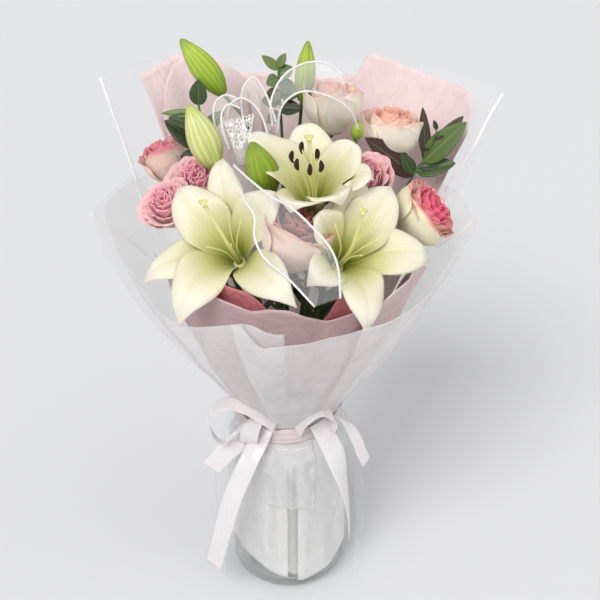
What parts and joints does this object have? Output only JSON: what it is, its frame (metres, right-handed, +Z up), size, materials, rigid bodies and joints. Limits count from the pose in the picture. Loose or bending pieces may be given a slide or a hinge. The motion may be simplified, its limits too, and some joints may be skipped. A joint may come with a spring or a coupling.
{
  "type": "flower bouquet in a vase",
  "caption": "Wrapped mixed bouquet of lilies, roses, buds and eucalyptus, tied with a satin bow and standing in a clear round glass vase.",
  "frame": {"origin": "middle of the vase's flat foot, on the table", "axes": "+Z up, +Y away from the side that the bouquet faces, +X to that viewer's right"},
  "size_m": [0.398, 0.335, 0.6174],
  "materials": {
    "vase_glass": "clear, polished",
    "twine": "matt twisted twine",
    "stem": "fresh green stem, satin",
    "lily_tepal": "fresh petal, satin",
    "lily_heart": "fresh pistil and filaments",
    "lily_heart_dark": "fresh pistil, filaments and dark brown anthers",
    "lily_bud": "fresh bud, satin",
    "rose_cream": "velvety petal, cream with pink rims",
    "rose_pink": "velvety petal, pink",
    "rose_peach": "velvety petal, peach",
    "rose_two_colour": "velvety petal, cream outside and pink inside",
    "eucalyptus": "leathery leaf, satin",
    "tissue": "thin tissue, matt",
    "frosted_film": "frosted wrapping film",
    "clear_film": "clear wrapping film with a white stripe",
    "satin": "glossy satin ribbon",
    "organza": "sheer ribbon with corded edges"
  },
  "bodies": {
    "root": {"vase": "vase_glass", "tie": "twine", "lily_left_stem": "stem", "lily_middle_stem": "stem", "lily_right_stem": "stem", "lily_bud_stem": "stem", "rose_left_stem": "stem", "rose_inner_left_stem": "stem", "rose_lower_left_stem": "stem", "rose_top_stem": "stem", "rose_top_right_stem": "stem", "rose_inner_right_stem": "stem", "rose_right_stem": "stem", "rose_middle_stem": "stem", "lily_left": "lily_tepal", "lily_left_heart": "lily_heart", "lily_middle": "lily_tepal", "lily_middle_heart": "lily_heart_dark", "lily_right": "lily_tepal", "lily_right_heart": "lily_heart", "bud_top": "lily_bud", "bud_left": "lily_bud", "bud_middle": "lily_bud", "bud_back": "lily_bud", "bud_small": "lily_bud", "rose_left": "rose_cream", "rose_inner_left": "rose_pink", "rose_lower_left": "rose_pink", "rose_top": "rose_peach", "rose_top_right": "rose_peach", "rose_inner_right": "rose_pink", "rose_right": "rose_two_colour", "rose_middle": "rose_peach", "eucalyptus_left": "eucalyptus", "eucalyptus_top": "eucalyptus", "eucalyptus_right": "eucalyptus", "tissue_right": "tissue", "tissue_left": "tissue", "tissue_middle": "tissue", "tissue_front": "tissue", "frost_left": "frosted_film", "frost_right": "frosted_film", "film": "clear_film", "satin_band": "satin", "satin_loop": "satin", "satin_tail_left": "satin", "satin_tail_short": "satin", "satin_tail_right": "satin", "satin_tail_far": "satin", "organza_strip": "organza", "organza_loop_tall": "organza", "organza_loop_left": "organza", "organza_loop_low": "organza", "lace": "organza"}
  },
  "joints": []
}
